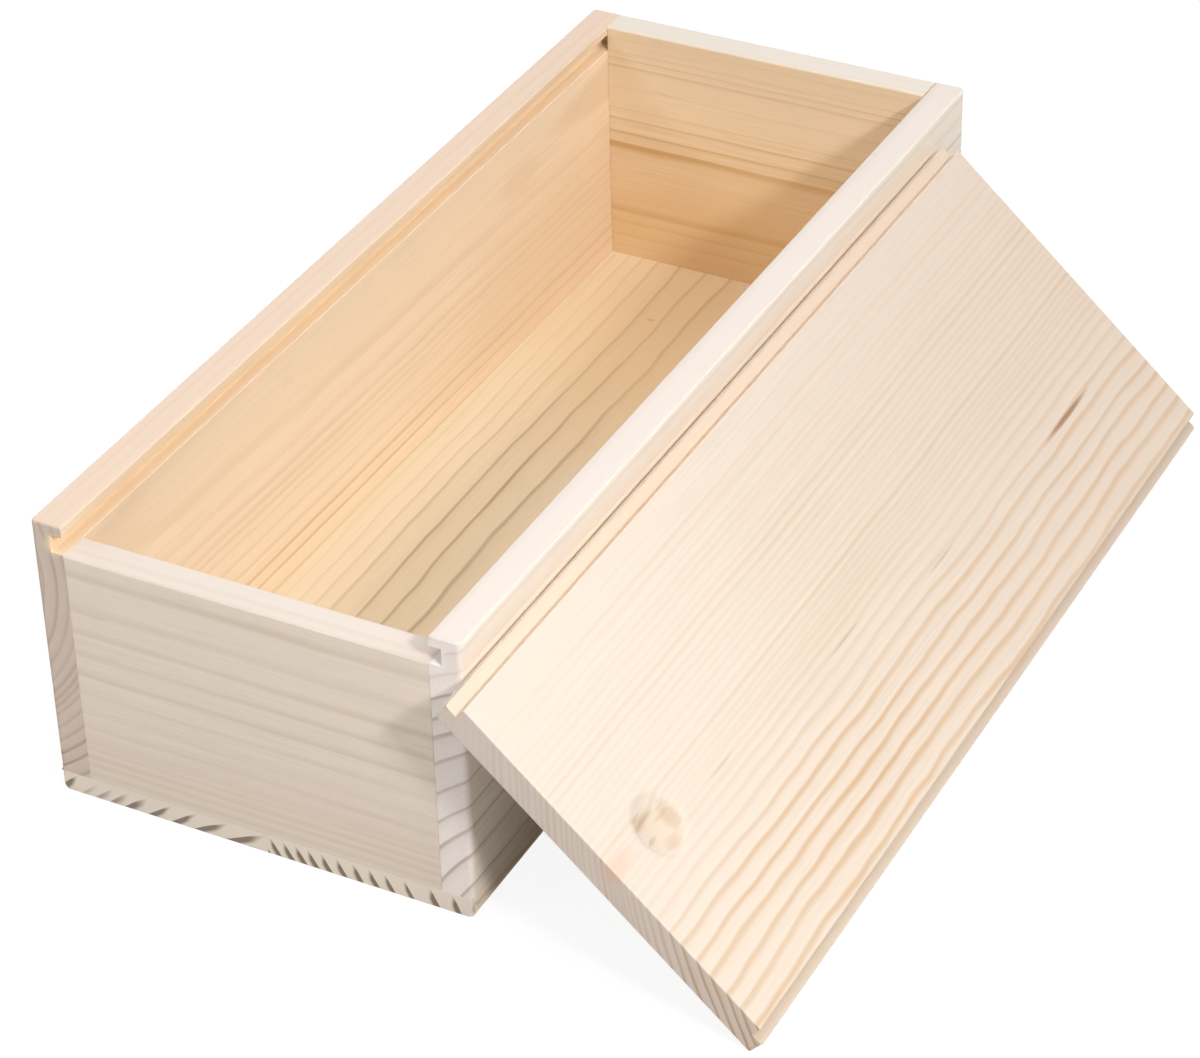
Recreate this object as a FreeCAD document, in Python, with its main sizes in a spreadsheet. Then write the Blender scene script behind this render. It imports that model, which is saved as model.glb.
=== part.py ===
import FreeCAD, Part
import math
import os
import Sketcher

# Long narrow keepsake box of thin pine boards, glued edge to edge, with a lid that slides in two grooves.
# The long sides run the whole length of the box, and the two end boards are glued between them.
# The front board is lower than the rest by the lid's thickness, so the lid enters over it from the front.
# All four walls stand on a base glued up from two strips. The lid is off and leans on the right side.
# The origin is at the middle of the underside: +X is right, +Y is towards the rear board, +Z is up.

doc = FreeCAD.newDocument("SlidingLidBox")

# Driving sizes in millimetres, and the lean in degrees
sizes = doc.addObject("Spreadsheet::Sheet", "Sizes")
DRIVING_SIZES = [
    ("box_length", 300.0, "outside length along Y"),
    ("box_width", 120.0, "outside width along X"),
    ("box_height", 83.0, "outside height of the sides and the rear board"),
    ("wall_thickness", 9.0, "thickness of the side and end boards"),
    ("base_thickness", 6.0, "thickness of the two base strips"),
    ("base_seam_offset", 1.2, "glue line of the base, to the right of the middle"),
    ("lid_thickness", 8.0, "lid at its middle, flush with the top of the sides when closed"),
    ("lip_thickness", 3.0, "wood left above each groove"),
    ("groove_depth", 3.5, "depth of each groove into its side board"),
    ("lid_clearance", 0.3, "play of the lid at each long edge, above each tongue and at the rear"),
    ("scoop_diameter", 17.0, "thumb scoop across its rim"),
    ("scoop_depth", 2.6, "thumb scoop at its deepest"),
    ("scoop_setback", 21.5, "middle of the thumb scoop from the front end of the lid"),
    ("edge_ease", 0.8, "rounding of the top and end edges"),
    ("corner_round", 1.5, "rounding of the upright corners"),
    ("base_round", 2.4, "rounding of the long edges of the underside"),
    ("lid_ease", 0.5, "rounding of the long edges of the lid"),
    ("lid_lean", 42.1, "angle of the leaning lid from the ground, in degrees"),
    ("lid_forward", 13.9, "front end of the leaning lid ahead of the box"),
    ("leaning_gap", 0.3, "leaning lid from the side it leans on"),
]
for row, (alias, value, meaning) in enumerate(DRIVING_SIZES, start=1):
    sizes.set(f"A{row}", meaning)
    sizes.set(f"B{row}", str(value))
    sizes.setAlias(f"B{row}", alias)
doc.recompute()

# Lengths that follow from the driving sizes, as expressions on the sheet
INNER_WIDTH = "(Sizes.box_width - 2 * Sizes.wall_thickness)"
LID_LEVEL = "(Sizes.box_height - Sizes.lid_thickness)"
GROOVE_HEIGHT = "(Sizes.lid_thickness - Sizes.lip_thickness)"
TONGUE_THICKNESS = f"({GROOVE_HEIGHT} - Sizes.lid_clearance)"
LID_WIDTH = f"({INNER_WIDTH} + 2 * Sizes.groove_depth - 2 * Sizes.lid_clearance)"
LID_LENGTH = "(Sizes.box_length - Sizes.wall_thickness - Sizes.lid_clearance)"
SCOOP_RADIUS = "((Sizes.scoop_diameter / 2)^2 + Sizes.scoop_depth^2) / (2 * Sizes.scoop_depth)"
EASED_ARRIS = "Sizes.lid_ease * (sin(Sizes.lid_lean) + cos(Sizes.lid_lean) - 1)"

NEAR = 1e-4


def size(alias):
    return float(sizes.get(alias))


def origin_plane(body, role):
    return next(item for item in body.Origin.OriginFeatures if item.Role == role)


def new_body(label):
    body = doc.addObject("PartDesign::Body", label)
    body.Label = label
    return body


def place(body, x="0", y="0", z="0", turn="0"):
    """Puts a body by expressions: its origin at x, y, z and turned about the upright axis."""
    body.Placement = FreeCAD.Placement(FreeCAD.Vector(), FreeCAD.Rotation(FreeCAD.Vector(0, 0, 1), 1))
    body.setExpression("Placement.Rotation.Angle", turn)
    body.setExpression("Placement.Base.x", x)
    body.setExpression("Placement.Base.y", y)
    body.setExpression("Placement.Base.z", z)


def rectangle(body, name, role, left, low, width, height):
    """A sketch on one of the body's own planes: a rectangle whose corner and sides are expressions."""
    sketch = body.newObject("Sketcher::SketchObject", name)
    sketch.AttachmentSupport = (origin_plane(body, role), [""])
    sketch.MapMode = "FlatFace"
    corners = [FreeCAD.Vector(x, y, 0) for x, y in ((1, 1), (5, 1), (5, 5), (1, 5))]
    for side in range(4):
        sketch.addGeometry(Part.LineSegment(corners[side], corners[(side + 1) % 4]), False)
    for side in range(4):
        sketch.addConstraint(Sketcher.Constraint("Coincident", side, 2, (side + 1) % 4, 1))
    for side, direction in enumerate(("Horizontal", "Vertical", "Horizontal", "Vertical")):
        sketch.addConstraint(Sketcher.Constraint(direction, side))
    dimensions = [
        (Sketcher.Constraint("DistanceX", -1, 1, 0, 1, 1.0), left),
        (Sketcher.Constraint("DistanceY", -1, 1, 0, 1, 1.0), low),
        (Sketcher.Constraint("DistanceX", 0, 1, 0, 2, 4.0), width),
        (Sketcher.Constraint("DistanceY", 1, 1, 1, 2, 4.0), height),
    ]
    for constraint, expression in dimensions:
        index = sketch.addConstraint(constraint)
        sketch.setExpression(f"Constraints[{index}]", expression)
    return sketch


def board(body, width, length, height):
    """A plain board from the body's origin: width along X, length along Y, height along Z."""
    outline = rectangle(body, "Outline", "XY_Plane", "0", "0", width, length)
    pad = body.newObject("PartDesign::Pad", "Board")
    pad.Profile = outline
    pad.setExpression("Length", height)
    doc.recompute()
    return pad


def plough(body, name, left, low, width, height):
    """A cut along the whole length of the board, of one rectangular section in the XZ plane."""
    before = body.Shape.Volume
    pocket = body.newObject("PartDesign::Pocket", name)
    pocket.Profile = rectangle(body, f"{name}Section", "XZ_Plane", left, low, width, height)
    pocket.Type = "ThroughAll"
    doc.recompute()
    if body.Shape.Volume > before - NEAR:
        raise RuntimeError(f"{body.Label}: {name} cuts nothing")


def edges_along(shape, axis, x=None, y=None, z=None):
    """Names of the straight edges that run along an axis at the given places."""
    names = []
    for number, edge in enumerate(shape.Edges, start=1):
        start, end = edge.Vertexes[0].Point, edge.Vertexes[-1].Point
        reach = abs((end - start).dot(axis))
        if reach < NEAR or abs(reach - edge.Length) > NEAR:
            continue
        middle = (start + end) * 0.5
        wanted = ((middle.x, x), (middle.y, y), (middle.z, z))
        if all(place is None or min(abs(value - one) for one in place) < NEAR for value, place in wanted):
            names.append(f"Edge{number}")
    return names


def round_edges(body, name, radius, axis, x=None, y=None, z=None):
    """Rounds the edges along an axis at the given places with a radius from the sheet."""
    sharp = body.Tip
    fillet = body.newObject("PartDesign::Fillet", name)
    fillet.Base = (sharp, edges_along(sharp.Shape, axis, x, y, z))
    fillet.setExpression("Radius", radius)
    doc.recompute()


ALONG_X = FreeCAD.Vector(1, 0, 0)
ALONG_Y = FreeCAD.Vector(0, 1, 0)
ALONG_Z = FreeCAD.Vector(0, 0, 1)


def base_strip(label, width):
    """One strip of the base, from its outer long edge at x = 0 to the glue line."""
    body = new_body(label)
    board(body, width, "Sizes.box_length", "Sizes.base_thickness")
    ends = (0, size("box_length"))
    round_edges(body, "Corners", "Sizes.corner_round", ALONG_Z, x=(0,), y=ends)
    round_edges(body, "LongEdge", "Sizes.base_round", ALONG_Y, x=(0,), z=(0,))
    return body


def side_board(label):
    """A long side, outer face at x = 0, with the lid's groove ploughed along its inner face."""
    body = new_body(label)
    thickness = size("wall_thickness")
    height = size("box_height") - size("base_thickness")
    board(body, "Sizes.wall_thickness", "Sizes.box_length", "Sizes.box_height - Sizes.base_thickness")
    plough(body, "Groove", "Sizes.wall_thickness - Sizes.groove_depth",
           f"{LID_LEVEL} - Sizes.base_thickness", "Sizes.groove_depth", GROOVE_HEIGHT)
    ends = (0, size("box_length"))
    round_edges(body, "Corners", "Sizes.corner_round", ALONG_Z, x=(0,), y=ends)
    round_edges(body, "OuterTopEdge", "Sizes.edge_ease", ALONG_Y, x=(0,), z=(height,))
    round_edges(body, "LipEdge", "Sizes.edge_ease", ALONG_Y, x=(thickness,), z=(height,))
    return body


def end_board(label, top):
    """An end board glued between the sides, outer face at y = 0, its top at the given level."""
    body = new_body(label)
    board(body, INNER_WIDTH, "Sizes.wall_thickness", f"{top} - Sizes.base_thickness")
    height = body.Shape.BoundBox.ZMax
    faces = (0, size("wall_thickness"))
    round_edges(body, "TopEdges", "Sizes.edge_ease", ALONG_X, y=faces, z=(height,))
    return body


def lid_board(label):
    """The lid lying flat, front end at y = 0, with a rabbet along each long edge and a thumb scoop."""
    body = new_body(label)
    board(body, LID_WIDTH, LID_LENGTH, "Sizes.lid_thickness")
    width, length = body.Shape.BoundBox.XMax, body.Shape.BoundBox.YMax
    rabbet_height = f"Sizes.lid_thickness - {TONGUE_THICKNESS}"
    plough(body, "LeftRabbet", "0", TONGUE_THICKNESS, "Sizes.groove_depth", rabbet_height)
    plough(body, "RightRabbet", f"{LID_WIDTH} - Sizes.groove_depth", TONGUE_THICKNESS,
           "Sizes.groove_depth", rabbet_height)
    scoop = body.newObject("PartDesign::SubtractiveSphere", "ThumbScoop")
    scoop.setExpression("Radius", SCOOP_RADIUS)
    scoop.setExpression("Placement.Base.x", f"{LID_WIDTH} / 2")
    scoop.setExpression("Placement.Base.y", "Sizes.scoop_setback")
    scoop.setExpression("Placement.Base.z", f"Sizes.lid_thickness - Sizes.scoop_depth + {SCOOP_RADIUS}")
    doc.recompute()
    round_edges(body, "Corners", "Sizes.corner_round", ALONG_Z, x=(0, width), y=(0, length))
    round_edges(body, "Undersides", "Sizes.lid_ease", ALONG_Y, x=(0, width), z=(0,))
    rabbets = (size("groove_depth"), width - size("groove_depth"))
    round_edges(body, "TopEdges", "Sizes.lid_ease", ALONG_Y, x=rabbets, z=(size("lid_thickness"),))
    return body


def print_lid_fit(lid, boards):
    """Prints how a lid pushed home, half open or nearly off would sit among the boards around it."""
    length = lid.Tip.Shape.BoundBox.YLength
    for share_open in (0.0, 0.5, 0.95):
        seat = FreeCAD.Vector(-lid.Tip.Shape.BoundBox.XLength / 2,
                              -size("box_length") / 2 - share_open * length,
                              size("box_height") - size("lid_thickness"))
        pushed = lid.Shape.copy()
        pushed.Placement = FreeCAD.Placement(seat, FreeCAD.Rotation()) * lid.Placement.inverse() * pushed.Placement
        overlap = sum(pushed.common(one.Shape).Volume for one in boards)
        reach = min(pushed.distToShape(one.Shape)[0] for one in boards)
        print(f"lid in its grooves, {share_open:.0%} open: overlap {overlap:.4f} mm3, nearest {reach:.2f} mm")


base_left = base_strip("base_board_left", "Sizes.box_width / 2 + Sizes.base_seam_offset")
place(base_left, x="-Sizes.box_width / 2", y="-Sizes.box_length / 2")

base_right = base_strip("base_board_right", "Sizes.box_width / 2 - Sizes.base_seam_offset")
place(base_right, x="Sizes.box_width / 2", y="Sizes.box_length / 2", turn="180")

left_side = side_board("left_side_board")
place(left_side, x="-Sizes.box_width / 2", y="-Sizes.box_length / 2", z="Sizes.base_thickness")

right_side = side_board("right_side_board")
place(right_side, x="Sizes.box_width / 2", y="Sizes.box_length / 2", z="Sizes.base_thickness", turn="180")

front = end_board("front_board", LID_LEVEL)
place(front, x=f"-{INNER_WIDTH} / 2", y="-Sizes.box_length / 2", z="Sizes.base_thickness")

rear = end_board("rear_board", "Sizes.box_height")
place(rear, x=f"{INNER_WIDTH} / 2", y="Sizes.box_length / 2", z="Sizes.base_thickness", turn="180")

# The lid leans with its left long edge on the right side board and its right long edge on the ground
lid = lid_board("sliding_lid")
lid.Placement = FreeCAD.Placement(FreeCAD.Vector(), FreeCAD.Rotation(ALONG_Y, 1))
lid.setExpression("Placement.Rotation.Angle", "Sizes.lid_lean")
lid.setExpression("Placement.Base.x", f"Sizes.box_width / 2 + Sizes.leaning_gap - {EASED_ARRIS}")
lid.setExpression("Placement.Base.y", "-Sizes.box_length / 2 - Sizes.lid_forward")
lid.setExpression("Placement.Base.z", f"{LID_WIDTH} * sin(Sizes.lid_lean) - {EASED_ARRIS}")

doc.recompute()
pieces = [base_left, base_right, left_side, right_side, front, rear, lid]
for item in doc.Objects:
    if "Invalid" in item.State or "Error" in item.State:
        raise RuntimeError(f"{item.Name} did not compute: {item.State}")
for piece in pieces:
    if piece.Shape.isNull() or not piece.Shape.isValid() or len(piece.Shape.Solids) != 1:
        raise RuntimeError(f"{piece.Label} is not one valid solid")

os.makedirs("parts", exist_ok=True)
for piece in pieces:
    piece.Shape.exportStep(f"parts/{piece.Label}.step")
    box = piece.Shape.BoundBox
    print(f"{piece.Label}: X {box.XMin:.2f} to {box.XMax:.2f}, Y {box.YMin:.2f} to {box.YMax:.2f}, "
          f"Z {box.ZMin:.2f} to {box.ZMax:.2f}, {piece.Shape.Volume / 1000:.2f} cm3")
print_lid_fit(lid, pieces[:-1])
print(f"gap of the leaning lid to the right side: {lid.Shape.distToShape(right_side.Shape)[0]:.3f} mm")
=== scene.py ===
import math
import random
import bmesh
import bpy
from mathutils import Matrix, Vector


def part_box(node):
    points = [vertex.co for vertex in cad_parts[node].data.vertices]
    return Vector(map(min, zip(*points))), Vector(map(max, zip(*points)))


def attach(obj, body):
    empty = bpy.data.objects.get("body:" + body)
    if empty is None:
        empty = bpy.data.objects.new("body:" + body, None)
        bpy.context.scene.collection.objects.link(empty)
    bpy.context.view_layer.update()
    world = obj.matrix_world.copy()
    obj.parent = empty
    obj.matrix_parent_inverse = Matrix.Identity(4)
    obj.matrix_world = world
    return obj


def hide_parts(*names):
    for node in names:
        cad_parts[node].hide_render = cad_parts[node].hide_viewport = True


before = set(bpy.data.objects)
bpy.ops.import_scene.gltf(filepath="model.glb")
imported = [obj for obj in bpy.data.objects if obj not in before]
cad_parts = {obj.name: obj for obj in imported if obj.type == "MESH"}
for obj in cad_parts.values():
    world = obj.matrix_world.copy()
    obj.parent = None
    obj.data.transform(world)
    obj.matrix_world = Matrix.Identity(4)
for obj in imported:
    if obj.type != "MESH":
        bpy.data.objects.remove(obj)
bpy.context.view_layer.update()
MM = 0.001

# The view: a long lens above and to the right of the box's front end, tilted a little,
# so that the box runs away to the upper right and the lid lies in front of its right side.
view_from = (0.4298, -0.7729, 0.6116)
view_turn, view_height, view_tilt = (math.radians(angle) for angle in (28.09, 34.49, -1.56))
camera = bpy.data.objects.new("camera", bpy.data.cameras.new("camera"))
bpy.context.scene.collection.objects.link(camera)
camera.data.sensor_width = 36
camera.data.lens = 116.2
camera.data.clip_end = 20
camera.matrix_world = (Matrix.Translation(view_from)
                       @ Matrix.Rotation(view_turn, 4, "Z")
                       @ Matrix.Rotation(math.pi / 2 - view_height, 4, "X")
                       @ Matrix.Rotation(view_tilt, 4, "Z"))
bpy.context.scene.camera = camera
bpy.context.scene.view_settings.view_transform = "Standard"


# The lamps: a window lamp to the right of the front end, small enough for the lid's front corner to
# shade the front board, among broad soft ones overhead, to the right, to the left and behind.
def lamp(name, turn, height, width, watts, distance=1.8):
    """A round lamp turned to the box, at a bearing from the front, towards the right, and a height in degrees."""
    aim = Vector((0.03, 0, 0.04))
    turn, height = math.radians(turn), math.radians(height)
    away = Vector((math.sin(turn) * math.cos(height), -math.cos(turn) * math.cos(height), math.sin(height)))
    light = bpy.data.objects.new(name, bpy.data.lights.new(name, "AREA"))
    light.data.shape = "DISK"
    light.data.size = width
    light.data.energy = watts
    light.matrix_world = (Matrix.Translation(aim + away * distance)
                          @ away.to_track_quat("Z", "Y").to_matrix().to_4x4())
    bpy.context.scene.collection.objects.link(light)


lamp("window", turn=53.4, height=36.6, width=0.12, watts=5.7, distance=1.2)
lamp("right", turn=90, height=40, width=1.2, watts=8)
lamp("front_right", turn=45, height=60, width=0.9, watts=4.8, distance=1.3)
lamp("overhead", turn=0, height=80, width=1.0, watts=8.5)
lamp("front_left", turn=-38, height=40, width=0.7, watts=5.5)
lamp("behind", turn=180, height=60, width=1.0, watts=6)
lamp("back_left", turn=235, height=22, width=1.2, watts=8)


# The floor: plain pale paper under a white sky. Both glow where they show, so that the ground is white
# and keeps only the darkest of the object's shadow, and the sky gives the object hardly any light.
class Field:
    """A number or a colour that varies over a surface: arithmetic on it adds Math nodes."""

    def __init__(self, tree, socket):
        self.tree, self.socket = tree, socket

    def math(self, operation, *others):
        node = self.tree.nodes.new("ShaderNodeMath")
        node.operation = operation
        for slot, value in zip(node.inputs, (self, *others)):
            plug(self.tree, slot, value)
        return Field(self.tree, node.outputs[0])

    def __add__(self, other): return self.math("ADD", other)
    def __radd__(self, other): return self.math("ADD", other)
    def __mul__(self, other): return self.math("MULTIPLY", other)
    def __sub__(self, other): return self.math("SUBTRACT", other)
    def __rsub__(self, other): return (self * -1).math("ADD", other)
    def __abs__(self): return self.math("ABSOLUTE")


def plug(tree, slot, value):
    """Sets a socket to a value, or links a field to it."""
    if isinstance(value, Field):
        tree.links.new(value.socket, slot)
    elif hasattr(value, "__len__") and len(value) == 3 and slot.type == "RGBA":
        slot.default_value = (*value, 1)
    else:
        slot.default_value = value


class Finish:
    """A material and the nodes that it is made of."""

    def __init__(self, name):
        self.material = bpy.data.materials.new(name)
        self.material.use_nodes = True
        self.tree = self.material.node_tree
        self.shader = self.tree.nodes["Principled BSDF"]

    def node(self, kind, settings, sockets, output=0):
        node = self.tree.nodes.new("ShaderNode" + kind)
        for setting, value in settings.items():
            if setting == "points":
                curve = node.mapping.curves[0]
                while len(curve.points) < len(value):
                    curve.points.new(0.5, 0.5)
                for point, place in zip(curve.points, value):
                    point.location = place
                    point.handle_type = "VECTOR"
                node.mapping.update()
            else:
                setattr(node, setting, value)
        for slot, value in sockets.items():
            plug(self.tree, node.inputs[slot], value)
        return Field(self.tree, node.outputs[output])

    def noise(self, place, stretch, detail, roughness=0.5, seed=0.0, output=0):
        """Noise about 0.5 on places scaled by stretch, in lumps per millimetre."""
        scaled = self.node("VectorMath", {"operation": "MULTIPLY"}, {0: place, 1: stretch})
        moved = self.node("VectorMath", {"operation": "ADD"}, {0: scaled, 1: (seed, seed * 0.7, seed * 1.3)})
        return self.node("TexNoise", {}, {"Vector": moved, "Scale": 1.0, "Detail": detail,
                                          "Roughness": roughness}, output)

    def step(self, value, start, end):
        return self.node("MapRange", {"interpolation_type": "SMOOTHSTEP"},
                         {0: value, 1: start, 2: end, 3: 0.0, 4: 1.0})

    def mix(self, share, first, second, blend="MIX"):
        return self.node("Mix", {"data_type": "RGBA", "blend_type": blend},
                         {0: share, 6: first, 7: second}, 2)


def shown(tree):
    """1 for the rays that show a white background, and 0 for those by which it would light the object."""
    ray = tree.nodes.new("ShaderNodeLightPath")
    return sum(Field(tree, ray.outputs[kind])
               for kind in ("Is Camera Ray", "Is Glossy Ray", "Is Transmission Ray")).math("MINIMUM", 1.0)


floor_reach = 4
floor_mesh = bmesh.new()
bmesh.ops.create_grid(floor_mesh, x_segments=1, y_segments=1, size=floor_reach)
floor = bpy.data.objects.new("floor", bpy.data.meshes.new("floor"))
floor_mesh.to_mesh(floor.data)
floor_mesh.free()
bpy.context.scene.collection.objects.link(floor)

paper_grey, paper_glow, glow_share = (0.66, 0.66, 0.66, 1), 1.13, 0.8
paper = Finish("white_paper")
paper.shader.inputs["Base Color"].default_value = paper_grey
paper.shader.inputs["Roughness"].default_value = 1
paper.shader.inputs["Specular IOR Level"].default_value = 0
glow = paper.node("Emission", {}, {"Strength": paper_glow})
surface = paper.node("MixShader", {}, {0: shown(paper.tree) * glow_share,
                                       1: Field(paper.tree, paper.shader.outputs[0]), 2: glow})
plug(paper.tree, paper.tree.nodes["Material Output"].inputs["Surface"], surface)
floor.data.materials.append(paper.material)

sky_light = 0.02
sky = bpy.data.worlds.new("sky")
bpy.context.scene.world = sky
sky.use_nodes = True
backdrop = sky.node_tree.nodes["Background"]
backdrop.inputs["Color"].default_value = (1, 1, 1, 1)
plug(sky.node_tree, backdrop.inputs["Strength"], shown(sky.node_tree) * (1 - sky_light) + sky_light)


# The base: two thin strips of pine glued edge to edge, their rings sloping opposite ways at the seam.
# The walls are glued down on it, and its long outer edges are rounded over.
def rings_through(heart, section, lines, inner, outer, faint):
    """Radii and strengths of the growth rings whose dark lines cross a board's faces at measured places.

    heart is where the heart of the tree would be and section two opposite corners of the board, as x and z
    in millimetres. lines holds x, z and strength for each crossing. The rings go on at the spacing inner,
    towards the heart, and at outer away from it, until they fill the section. faint is the strength of those
    inner and outer ones.
    """
    (x0, z0), (x1, z1) = section
    nearest = math.hypot(heart[0] - min(max(heart[0], x0), x1), heart[1] - min(max(heart[1], z0), z1))
    farthest = max(math.hypot(heart[0] - x, heart[1] - z) for x in (x0, x1) for z in (z0, z1))
    rings = sorted((math.hypot(x - heart[0], z - heart[1]), strength) for x, z, strength in lines)
    chance = random.Random(1)
    while rings[0][0] > nearest - inner:
        rings.insert(0, (rings[0][0] - inner * chance.uniform(0.85, 1.15), faint[0] * chance.uniform(0.5, 1.5)))
    while rings[-1][0] < farthest + outer:
        rings.append((rings[-1][0] + outer * chance.uniform(0.85, 1.15), faint[1] * chance.uniform(0.5, 1.5)))
    return rings


def pine(name, heart, rings, early, late, end, wander, ripple, seed, marks, turn=(0, 0, 0), shift=(0, 0, 0),
         grain="Y", lean=(0, 0), rough=(0, 100), width=1.0, deepen=(1, 1), reach=(-150, 150), rims=None,
         soak=0.6, worn=None):
    """Solid pine: growth rings about a heart that lies outside the board, cut by each of its faces.

    heart and rings are as in rings_through, in the board's own frame, which turn and shift lead to and whose
    y runs with the grain. grain is the axis that it runs along on the object. early and late are the two
    colours of a ring, and end multiplies them on end grain, where soak is how strong the lines are. wander is
    the size of long waves and ripple that of short ones where x is at each end of rough, and lean is how far
    the heart drifts per millimetre of length. width is that of a dark line, and deepen is how strong the
    lines are where y is at each end of reach. rims multiplies the colour of faces that look up, as painted
    shade with a cooler tint. worn holds the heights between which the lines on the end grain widen into
    wedges. marks are changes of tone, blemishes, painted light and painted shade: a middle, half sizes, a
    colour and a strength. Lengths are in millimetres.
    """
    finish = Finish(name)
    shape = finish.node("TexCoord", {}, {}, "Object")
    facing = finish.node("TexCoord", {}, {}, "Normal")
    place = finish.node("Mapping", {"vector_type": "POINT"},
                        {"Vector": shape, "Location": shift, "Rotation": turn, "Scale": (1000, 1000, 1000)})
    x, y, z = (finish.node("SeparateXYZ", {}, {0: place}, axis) for axis in range(3))

    # Rings: the distance from the heart, bent by long waves and short ones, read off as a count of years
    slow = finish.noise(place, (0.010, 0.006, 0.010), 1.0, seed=seed, output="Color")
    quick = finish.noise(place, (0.045, 0.024, 0.045), 2.0, 0.55, seed + 5)
    height = finish.node("MapRange", {}, {0: x, 1: rough[0], 2: rough[1], 3: ripple[0] * 2, 4: ripple[1] * 2})
    sway_x, sway_z = (finish.node("SeparateXYZ", {}, {0: slow}, axis) - 0.5 for axis in (0, 2))
    off_x = x - heart[0] - y * lean[0] + sway_x * (wander * 4)
    off_z = z - heart[1] - y * lean[1] + sway_z * (wander * 4)
    radius = (off_x * off_x + off_z * off_z).math("SQRT") + (quick - 0.5) * height
    radii, strengths = zip(*rings)
    last, widest = len(rings) - 1, 20
    gaps = [radii[min(n + 1, last)] - radii[min(n, last - 1)] for n in range(len(rings))]
    share = finish.node("FloatCurve", {"points": [((r - radii[0]) / (radii[-1] - radii[0]), n / last)
                                                  for n, r in enumerate(radii)]},
                        {"Value": (radius - radii[0]) * (1 / (radii[-1] - radii[0]))})
    growth = (share * last).math("FRACT")
    gap = finish.node("FloatCurve", {"points": [(n / last, g / widest) for n, g in enumerate(gaps)]},
                      {"Value": share}) * widest
    strength = finish.node("FloatCurve", {"points": [(n / last, s) for n, s in enumerate(strengths)]},
                           {"Value": share})

    # A dark line darkens slowly outwards and ends sharply where the next spring's wood begins
    before, after = (1 - growth) * gap, growth * gap
    line = (1 - finish.step(before, width * 0.1, width)).math("MAXIMUM", 1 - finish.step(after, 0.05, width * 0.45))
    line = line + (1 - finish.step(before, width * 0.3, width * 3.6)) * 0.22
    fading = finish.noise(place, (0.05, 0.014, 0.05), 1.0, seed=seed + 9)
    swell = finish.node("MapRange", {}, {0: y, 1: reach[0], 2: reach[1], 3: deepen[0], 4: deepen[1]})
    late_wood = (line * strength * (fading * 1.1 + 0.45) * swell).math("MINIMUM", 1.0)

    # Fibres run the length of the board, and short brown dashes are the cut resin canals
    fibre = finish.noise(place, (1.7, 0.03, 1.7), 4.0, 0.62, seed + 2)
    hair = finish.noise(place, (5.0, 0.07, 5.0), 2.0, 0.6, seed + 3)
    dashes = finish.step(finish.noise(place, (2.4, 0.05, 2.4), 1.0, 0.5, seed + 4), 0.70, 0.82)
    colour = finish.mix(late_wood, early, late)
    colour = finish.mix(dashes * 0.28, colour, [c * 0.8 for c in late])
    streaks = (fibre - 0.5) * 0.16 + (hair - 0.5) * 0.08 + 1.0
    colour = finish.node("VectorMath", {"operation": "SCALE"}, {0: colour, "Scale": streaks})

    # Rims have fainter lines than the faces, and painted shade with a cooler tint that also reaches their rounded
    # edges; end grain has its own tint
    if rims:
        faces_up = finish.step(finish.node("SeparateXYZ", {}, {0: facing}, 2), 0.4, 0.9)
        colour = finish.mix(faces_up * 0.6, colour, early)
        colour = finish.mix(faces_up, colour, finish.mix(1.0, colour, rims, "MULTIPLY"))
    faces_end = finish.step(abs(finish.node("SeparateXYZ", {}, {0: facing}, "XYZ".index(grain))), 0.3, 0.85)
    if worn:
        foot = finish.step(z, *worn)
        wedge = 1 - finish.step(before, width * 0.5, foot * (width * 3) + width * 0.6)
        late_wood = (wedge * strength * foot * 3.8).math("MINIMUM", 1.0)
        colour = finish.mix(faces_end, colour, early)
    soaked = finish.mix(late_wood * soak, colour, [c * 0.6 for c in late])
    soaked = finish.mix(1.0, soaked, end, "MULTIPLY")
    colour = finish.mix(faces_end, colour, soaked)

    for middle, half, tint, amount in marks:
        away = finish.node("VectorMath", {"operation": "SUBTRACT"}, {0: place, 1: middle})
        away = finish.node("VectorMath", {"operation": "DIVIDE"}, {0: away, 1: half})
        ragged = finish.node("VectorMath", {"operation": "LENGTH"}, {0: away}, "Value") + (fibre - 0.5) * 0.7
        colour = finish.mix((1 - finish.step(ragged, 0.3, 1.05)) * amount, colour, tint)

    relief = late_wood * 0.5 + fibre * 0.5 + hair * 0.25
    bump = finish.node("Bump", {}, {"Height": relief, "Strength": 0.5, "Distance": 0.00012})
    plug(finish.tree, finish.shader.inputs["Base Color"], colour)
    plug(finish.tree, finish.shader.inputs["Roughness"], 0.70 - late_wood * 0.12 + (fibre - 0.5) * 0.2)
    plug(finish.tree, finish.shader.inputs["Normal"], bump)
    finish.shader.inputs["Specular IOR Level"].default_value = 0.2
    return finish.material


def along(axis, **places):
    """A test for edges that run along an axis and lie, on each other axis given, at one of the places."""
    def test(one, other):
        straight = abs(abs((other - one).normalized()["xyz".index(axis)]) - 1) < 1e-3
        middle = dict(zip("xyz", (one + other) / 2))
        return straight and all(any(abs(middle[name] - spot) < 1e-3 for spot in spots)
                                for name, spots in places.items())
    return test


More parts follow.
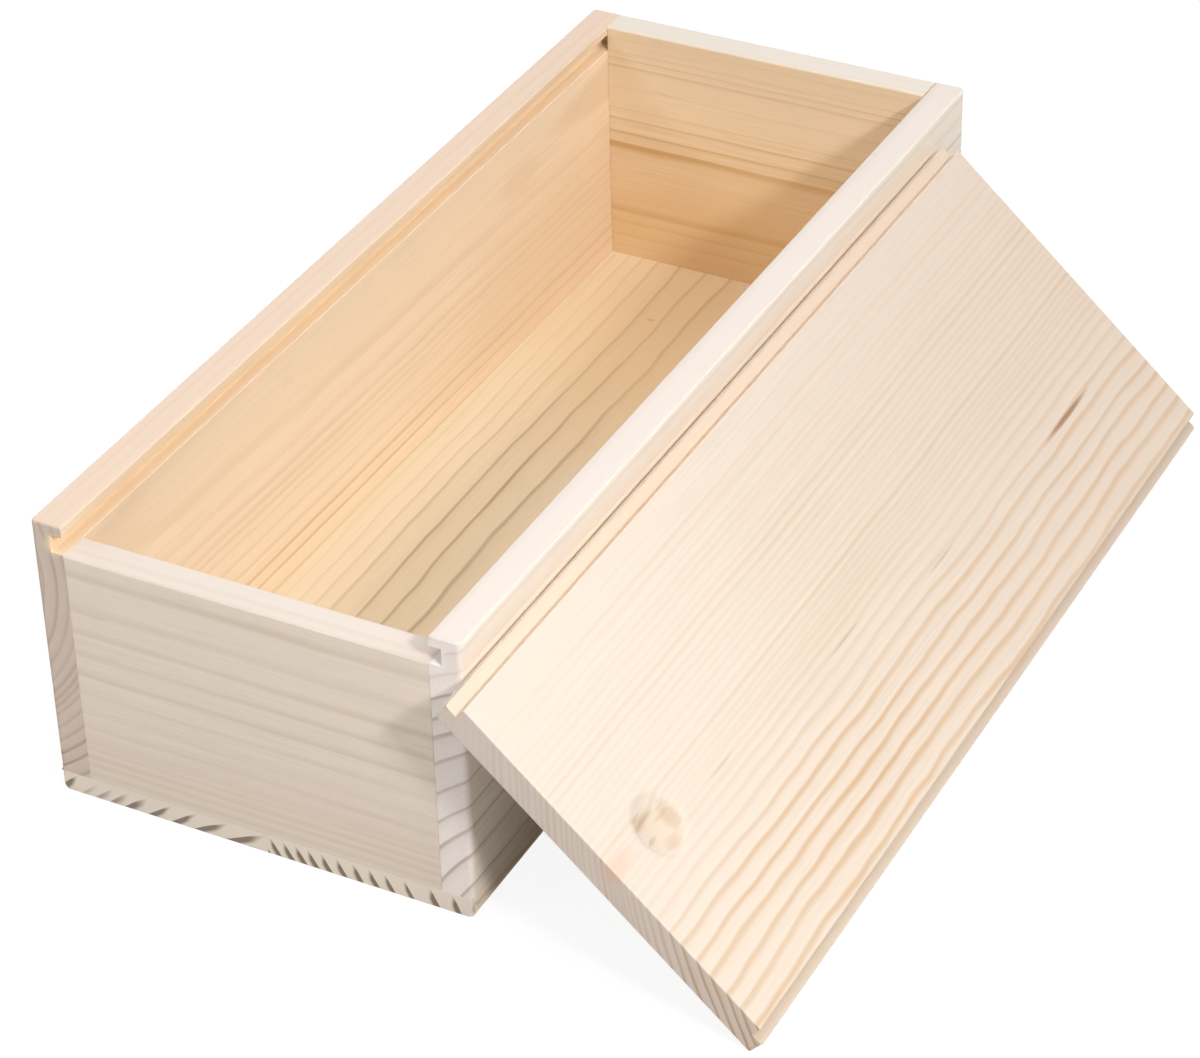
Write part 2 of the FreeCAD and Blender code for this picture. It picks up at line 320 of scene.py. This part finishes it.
def sawn(outline, length, rounds):
    """A board sawn to an outline in X and Z and cut to length along Y, all in millimetres.

    rounds pairs tests with the radius for the edges that pass them. The last that an edge passes counts,
    and the edge is marked with its share of the largest radius.
    """
    bm = bmesh.new()
    corners = [bm.verts.new((x * MM, 0, z * MM)) for x, z in outline]
    end = bm.faces.new(corners)
    grown = bmesh.ops.extrude_face_region(bm, geom=[end])
    bmesh.ops.translate(bm, vec=(0, length * MM, 0),
                        verts=[item for item in grown["geom"] if isinstance(item, bmesh.types.BMVert)])
    bmesh.ops.recalc_face_normals(bm, faces=bm.faces)
    weights = bm.edges.layers.float.new("bevel_weight_edge")
    for edge in bm.edges:
        one, other = (vertex.co / MM for vertex in edge.verts)
        for test, radius in rounds:
            if test(one, other):
                edge[weights] = radius / largest_of(rounds)
    return bm


def largest_of(rounds):
    return max(radius for test, radius in rounds)


def settle(bm, name, body, place, material, rounds, stands_for):
    """Makes a finished board of a sawn one: put in its place, eased, covered and fixed to its body.

    Sharp edges that sawn left unmarked are only broken.
    """
    broken, sharp = 0.1, 0.5
    bmesh.ops.transform(bm, matrix=place, verts=bm.verts)
    bmesh.ops.recalc_face_normals(bm, faces=bm.faces)
    weights = bm.edges.layers.float["bevel_weight_edge"]
    for edge in bm.edges:
        if edge[weights] == 0 and edge.calc_face_angle(0) > sharp:
            edge[weights] = broken / largest_of(rounds)
    mesh = bpy.data.meshes.new(name)
    bm.to_mesh(mesh)
    bm.free()
    mesh.shade_smooth()
    board = bpy.data.objects.new(name, mesh)
    bpy.context.scene.collection.objects.link(board)
    mesh.materials.append(material)
    ease = board.modifiers.new("ease", "BEVEL")
    ease.limit_method = "WEIGHT"
    ease.width = largest_of(rounds) * MM
    ease.segments = 4
    ease.harden_normals = True
    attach(board, body)
    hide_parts(stands_for)


base_low, base_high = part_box("base_board_left")
base_length = (base_high.y - base_low.y) / MM
base_height = (base_high.z - base_low.z) / MM
half_width, seam = -base_low.x / MM, base_high.x / MM
outer_faces, inner_faces, box_front = (-60, 60), (-51, 51), -150

heart = (43, -107)
marked = [(-49, .10), (-44.5, .16), (-39.8, .2), (-34.8, .3), (-27, .5), (-19, .55), (-10.4, .55), (0.4, .5)]
LEFT_STRIP = pine("pine_base_left", heart,
                  rings_through(heart, ((-half_width, 0), (seam, base_height)),
                                [(x, base_height, strength) for x, strength in marked], 6, 4.2, (0.5, 0.5)),
                  early=(0.74, 0.61, 0.435), late=(0.42, 0.30, 0.19), end=(1.21, 1.29, 1.54), worn=(5.8, 1.2),
                  wander=0.7, ripple=(1.0, 1.0), width=0.6, deepen=(0.9, 1.3), soak=1.0, seed=3.3,
                  marks=[((-22, 109.6, 6), (1.6, 0.8, 1), (0.36, 0.22, 0.12), 0.8),
                         ((0, 110, 6), (70, 95, 12), (0.72, 0.50, 0.28), 0.6)])
heart = (-100, -70)
marked = (3.4, 7.6, 11.4, 14.9, 18.6, 22.7, 27.3, 31.8, 36.3, 41.5, 48.4, 54.5, 60)
RIGHT_STRIP = pine("pine_base_right", heart,
                   rings_through(heart, ((seam, 0), (half_width, base_height)), [(x, 3, 0.5) for x in marked],
                                 3.3, 5, (0.5, 0.5)),
                   early=(0.96, 0.81, 0.61), late=(0.48, 0.34, 0.21), end=(0.95, 0.99, 1.11), worn=(5.9, 1.6),
                   wander=0.5, ripple=(1.0, 1.0), width=0.6, deepen=(0.9, 1.4), soak=1.0, seed=4.7,
                   marks=[((0, 110, 6), (70, 95, 12), (0.90, 0.64, 0.36), 0.5)])
rounds = [(along("y", z=[0], x=outer_faces), 2.4), (along("z", x=outer_faces), 1.5),
          (along("x", z=[0]), 0.7), (along("x", z=[base_height]), 0.14)]
for node, material, outer in (("base_board_left", LEFT_STRIP, -half_width),
                              ("base_board_right", RIGHT_STRIP, half_width)):
    outline = [(outer, 0), (seam, 0), (seam, base_height), (outer, base_height)]
    settle(sawn(outline, base_length, rounds), node.replace("board", "strip"), "box",
           Matrix.Translation((0, base_low.y, 0)), material, rounds, node)


# The long sides: one board each, the whole length of the box, with a groove ploughed along the inner
# face for the lid and a thin lip left above it. Their end grain shows at the front and the rear.
rim, lip, groove_depth, lid_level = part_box("left_side_board")[1].z / MM, 3.0, 3.5, 75.0
heart = (-96, 66)
marked = [(53.0, .16), (45.0, .14), (39.6, .22), (36.0, .2), (33.4, .2), (30.6, .18), (25.6, .18), (20.8, .25),
          (16.2, .5), (12.0, .5), (6.4, .3)]
LEFT_SIDE = pine("pine_left_side", heart,
                 rings_through(heart, ((-60, base_height), (-51, rim)),
                               [(-51, z, strength) for z, strength in marked], 3.6, 3.5, (0.2, 0.3)),
                 early=(0.915, 0.745, 0.555), late=(0.64, 0.43, 0.25), end=(0.80, 0.81, 0.92),
                 rims=(0.81, 0.78, 0.83), lean=(0.0105, 0), wander=0.6, ripple=(0.5, 0.5), seed=8.1,
                 marks=[((-51, 85, 60), (3, 16, 7), (0.80, 0.58, 0.38), 0.45),
                        ((-51, 130, 22), (8, 130, 50), (0.74, 0.55, 0.365), 0.5),
                        # Painted light: the groove, which lies in shade, is made paler and more golden, which also
                        # takes back the painted rim shade on its floor.
                        ((-53.5, 0, 77), (4, 900, 4), (1.0, 0.79, 0.52), 0.85)])
heart = (104, -24)
marked = (51.4, 56.3, 62.7, 68.8, 74, 80.3, 87.4, 93.6, 98, 103)
RIGHT_SIDE = pine("pine_right_side", heart,
                  rings_through(heart, ((51, base_height), (60, rim)),
                                [(heart[0] - radius, heart[1], 0.5) for radius in marked], 5, 5.2, (0.6, 0.2)),
                  early=(0.94, 0.84, 0.73), late=(0.55, 0.41, 0.28), end=(1.04, 1.05, 1.13),
                  rims=(0.80, 0.80, 0.84), wander=0.5, ripple=(0.5, 0.5), soak=0.22, seed=6.2,
                  # Painted light: the front end of the groove, which lies in shade, is made pale.
                  marks=[((53, -149, 77.5), (4.5, 9, 5), (1.0, 0.96, 0.92), 0.8),
                         # Painted shade: the outer face is browner low down, for the shade under the leaning lid,
                         # and it stays on the board when the lid slides away.
                         ((60, -10, 15), (10, 145, 60), (0.52, 0.37, 0.25), 0.7)])
rounds = [(along("z", x=outer_faces), 1.5), (along("y", z=[rim]), 0.8), (along("x", z=[rim]), 0.6),
          (along("y", z=[rim - lip], x=inner_faces), 0.4), (along("y", z=[lid_level], x=inner_faces), 0.25),
          (along("z", x=inner_faces), 0.18), (along("x", z=[base_height]), 0.14)]
for node, material, outer, inner in zip(("left_side_board", "right_side_board"), (LEFT_SIDE, RIGHT_SIDE),
                                        outer_faces, inner_faces):
    back = inner + math.copysign(groove_depth, inner)
    outline = [(outer, base_height), (inner, base_height), (inner, lid_level), (back, lid_level),
               (back, rim - lip), (inner, rim - lip), (inner, rim), (outer, rim)]
    settle(sawn(outline, base_length, rounds), node.replace("_board", ""), "box",
           Matrix.Translation((0, base_low.y, 0)), material, rounds, node)


# The end boards: each one board glued between the sides, its grain across the box. The front one
# stops at the level of the groove, so that the lid can slide in over it, and the rear one is full height.
ACROSS = Matrix.Rotation(-math.pi / 2, 4, "Z")
heart = (210, 110)
marked = [(69.8, .30), (59.5, .2), (52.4, .3), (45.8, .25), (39.4, .32), (33.3, .14), (27.5, .1), (22.8, .22),
          (17.7, .16), (16.0, .2), (13.2, .28), (10.7, .28), (7.8, .28)]
FRONT = pine("pine_front", heart,
             rings_through(heart, ((141, base_height), (150, lid_level)),
                           [(150, z, strength) for z, strength in marked], 6.5, 2.6, (0.08, 0.25)),
             early=(0.90, 0.775, 0.655), late=(0.63, 0.47, 0.34), end=(0.85, 0.83, 0.84), rims=(0.80, 0.82, 0.86),
             turn=(0, 0, math.pi / 2), grain="X", wander=0.5, ripple=(0.4, 0.4), width=1.6, seed=2.4,
             marks=[((150, 0, 6), (12, 130, 42), (0.78, 0.66, 0.55), 0.4)])
heart = (-96, 33)
marked = [(75.4, .25), (73.3, .3), (71.1, .25), (64.0, .1), (44.8, .75), (17.4, .5), (12.8, .4), (9.4, .25)]
REAR = pine("pine_rear", heart,
            rings_through(heart, ((-150, base_height), (-141, rim)),
                          [(-141, z, strength) for z, strength in marked], 3.3, 3.2, (0.12, 0.12)),
            early=(0.83, 0.665, 0.47), late=(0.56, 0.35, 0.15), end=(0.95, 0.94, 0.96), rims=(0.89, 1.0, 1.25),
            turn=(0, 0, math.pi / 2), grain="X", wander=0.12, ripple=(0.12, 0.12), width=0.35, seed=5.9,
            marks=[((-141, 0, 8), (12, 120, 56), (0.72, 0.48, 0.24), 0.7)])
for node, material in (("front_board", FRONT), ("rear_board", REAR)):
    low, high = (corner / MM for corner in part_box(node))
    outline = [(0, low.z), (high.y - low.y, low.z), (high.y - low.y, high.z), (0, high.z)]
    rounds = [(along("y", z=[high.z]), 0.8), (along("z"), 0.18), (along("y", z=[low.z]), 0.14)]
    settle(sawn(outline, high.x - low.x, rounds), node.replace("_board", "_end"), "box",
           Matrix.Translation((low.x * MM, high.y * MM, 0)) @ ACROSS, material, rounds, node)


# The lid: one board with a rabbet along each long edge, which leaves a tongue for the groove, and a
# thumb scoop near its front end. It leans on the right side with its lower edge on the ground.
LEAN, LEANING_GAP, LID_FORWARD = math.radians(42.1), 0.3, 13.9
lid_width, lid_length, lid_thick, tongue, lid_ease = 108.4, 290.7, 8.0, 4.7, 0.5
arris = lid_ease * (math.sin(LEAN) + math.cos(LEAN) - 1)
lid_place = (Matrix.Translation(((outer_faces[1] + LEANING_GAP - arris) * MM, (box_front - LID_FORWARD) * MM,
                                 (lid_width * math.sin(LEAN) - arris) * MM))
             @ Matrix.Rotation(LEAN, 4, "Y"))
outline = [(0, 0), (lid_width, 0), (lid_width, tongue), (lid_width - groove_depth, tongue),
           (lid_width - groove_depth, lid_thick), (groove_depth, lid_thick), (groove_depth, tongue), (0, tongue)]
rounds = [(along("z", x=[0, lid_width]), 1.5), (along("z", x=[groove_depth, lid_width - groove_depth]), 0.3),
          (along("y", z=[0, lid_thick]), lid_ease), (along("y", z=[tongue], x=[0, lid_width]), 0.3),
          (along("x", z=[0, lid_thick]), 0.35)]
lid = sawn(outline, lid_length, rounds)

# The scoop: a square cell is cut out of the top face, and a round dish is spun and joined to its edges
scoop_across, scoop_along, scoop_radius, scoop_depth, scoop_ease = 56.0, 21.4, 8.4, 2.6, 1.0
cell_margin, cell_splits, dish_splits = 3, 16, 8
ball = (scoop_radius ** 2 + scoop_depth ** 2) / (2 * scoop_depth)


def over_scoop(face):
    lows, highs = ([pick(v.co[axis] / MM for v in face.verts) for axis in range(3)] for pick in (min, max))
    return (lows[0] < scoop_across < highs[0] and lows[1] < scoop_along < highs[1]
            and lows[2] > lid_thick - 0.001)


for axis, middle in ((0, scoop_across), (1, scoop_along)):
    for side in (-1, 1):
        cell = next(face for face in lid.faces if over_scoop(face))
        point, normal = Vector((0, 0, 0)), Vector((0, 0, 0))
        point[axis], normal[axis] = (middle + side * (scoop_radius + cell_margin)) * MM, side
        bmesh.ops.bisect_plane(lid, geom=[cell, *cell.edges, *cell.verts], plane_co=point, plane_no=normal)
cell = next(face for face in lid.faces if over_scoop(face))
for edge in list(cell.edges):
    corner = edge.verts[0]
    for left in range(cell_splits, 1, -1):
        corner = bmesh.utils.edge_split(edge, corner, 1 / left)[1]
bmesh.ops.delete(lid, geom=[cell], context="FACES_ONLY")
centre = Vector((scoop_across * MM, scoop_along * MM, (lid_thick - scoop_depth + ball) * MM))
widest = math.asin(scoop_radius / ball)
arc = [lid.verts.new(centre + ball * MM * Vector((math.sin(widest * n / dish_splits), 0,
                                                  -math.cos(widest * n / dish_splits))))
       for n in range(dish_splits + 1)]
profile = [lid.edges.new(pair) for pair in zip(arc, arc[1:])]
bmesh.ops.spin(lid, geom=arc + profile, cent=centre, axis=(0, 0, 1), angle=math.tau, steps=4 * cell_splits,
               use_merge=True)
bmesh.ops.remove_doubles(lid, verts=lid.verts, dist=1e-7)
dish_rim = [edge for edge in lid.edges if edge.is_boundary
            and all(abs((v.co - centre).xy.length - scoop_radius * MM) < 1e-6 for v in edge.verts)]
frame_edges = [edge for edge in lid.edges if edge.is_boundary and edge not in dish_rim]
bmesh.ops.bridge_loops(lid, edges=frame_edges + dish_rim)
weights = lid.edges.layers.float["bevel_weight_edge"]
for edge in dish_rim:
    edge[weights] = scoop_ease / largest_of(rounds)

heart = (165, 134)
marked = [(103.2, .7), (97.6, .7), (93, .75), (88, .7), (83.7, .7), (78.6, .62), (74.5, .5), (70, .35), (66.5, .3),
          (63.5, .3), (61, .3), (59, .25), (57, .25), (55.8, .25), (54, .25), (52.5, .3), (50.4, .5), (48, .25),
          (45.8, .25), (43.5, .25), (41.8, .2), (40, .25), (38, .25), (36.2, .25), (33.8, .35), (31.4, .35),
          (29.2, .2), (27.6, .2), (25, .2), (23, .2), (21.2, .2), (19, .14), (16, .2), (13.6, .2)]
resin = (0.34, 0.19, 0.10)
LID = pine("pine_lid", heart,
           rings_through(heart, ((0, 0), (lid_width, lid_thick)),
                         [(x, lid_thick, strength) for x, strength in marked], 2.5, 1.8, (0.55, 0.05)),
           early=(0.75, 0.645, 0.54), late=(0.60, 0.38, 0.20), end=(0.98, 0.96, 0.99), turn=(0, -LEAN, 0),
           # deepen strengthens the lines towards the far end, partly the grain's own contrast and partly painted
           # shade for how the light falls along the lid.
           shift=-(Matrix.Rotation(-LEAN, 3, "Y") @ lid_place.translation) / MM, deepen=(0.75, 1.25),
           reach=(0, 290), wander=0.3, ripple=(0.5, 1.1), rough=(50, 85), width=0.9, seed=7.4,
           # Painted shade: the two tongues are darkened and the upper rabbet's inner corner is drawn as an
           # orange-brown line, for the shade at the rabbet's step and along the box and the ground.
           marks=[((1.5, 145, 4.7), (3.4, 400, 3), (0.73, 0.59, 0.43), 0.6),
                  ((107, 145, 4.7), (3.2, 400, 3), (0.64, 0.51, 0.38), 0.6),
                  ((3.4, 145, 6.2), (0.9, 400, 2.4), (0.74, 0.48, 0.30), 0.6),
                  # Painted shade darkens the lid towards its far end, and painted light makes its near end paler,
                  # for how the light falls along it.
                  ((54, 300, 4), (260, 260, 60), (0.64, 0.525, 0.44), 0.45),
                  ((35, 20, 8), (60, 110, 20), (0.77, 0.69, 0.61), 0.35),
                  ((75.2, 245, 8), (1.0, 18, 3), resin, 0.9), ((64, 114, 8), (0.5, 11, 2), resin, 0.28),
                  ((59, 50, 8), (0.5, 8, 2), resin, 0.22), ((71.5, 163, 8), (0.5, 9, 2), resin, 0.3),
                  ((54.5, 2, 7), (3.6, 9, 5), (0.80, 0.50, 0.38), 0.5),
                  # In the scoop: the first three marks are painted shade in the hollow and on its far and lower
                  # walls, over the darker tone of the torn end grain there; the rest are dark grain lines that the
                  # scoop cuts.
                  ((56.5, 22.5, 5.0), (9.5, 9, 3.4), (0.68, 0.56, 0.43), 0.6),
                  ((57.0, 27.4, 6.2), (6.2, 3.2, 2.2), (0.56, 0.40, 0.27), 0.65),
                  ((61.8, 22.5, 6.2), (2.6, 5.0, 2.2), (0.58, 0.43, 0.29), 0.55),
                  ((55.2, 25.5, 6.0), (0.8, 4.0, 2.0), (0.46, 0.33, 0.21), 0.3),
                  ((52.6, 18.5, 6.6), (2.4, 6.5, 2.6), (0.58, 0.43, 0.30), 0.55),
                  ((52.8, 19.0, 6.6), (0.9, 6.2, 2.6), (0.46, 0.32, 0.20), 0.65),
                  ((50.8, 17.5, 6.9), (0.6, 4.0, 2.4), (0.46, 0.32, 0.20), 0.4),
                  ((57.6, 17.6, 6.2), (0.8, 4.0, 2.4), (0.48, 0.34, 0.22), 0.45)])
settle(lid, "lid", "lid", lid_place, LID, rounds, "sliding_lid")
